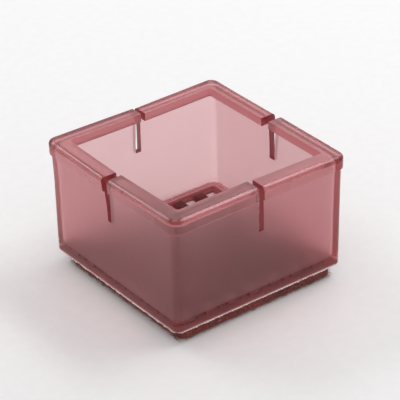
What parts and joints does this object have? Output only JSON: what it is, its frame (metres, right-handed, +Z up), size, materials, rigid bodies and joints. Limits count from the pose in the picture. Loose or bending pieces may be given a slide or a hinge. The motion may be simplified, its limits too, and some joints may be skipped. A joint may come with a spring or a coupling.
{
  "type": "chair leg cap",
  "caption": "Square translucent silicone cup with a slit collar and a felt pad underneath, pushed over the end of a chair leg to protect the floor.",
  "frame": {"origin": "on the floor, under the middle of the cup", "axes": "+Z up out of the mouth, +X and +Y square to the cup's sides, the felt set a little towards -Y"},
  "size_m": [0.046, 0.046, 0.0304],
  "materials": {
    "silicone": "satin, frosted translucent",
    "cloth": "plain weave, whitish",
    "felt": "needle felt, reddish brown"
  },
  "bodies": {
    "root": {"silicone_cap": "silicone", "backing_cloth": "cloth", "felt_pad": "felt"}
  },
  "joints": []
}
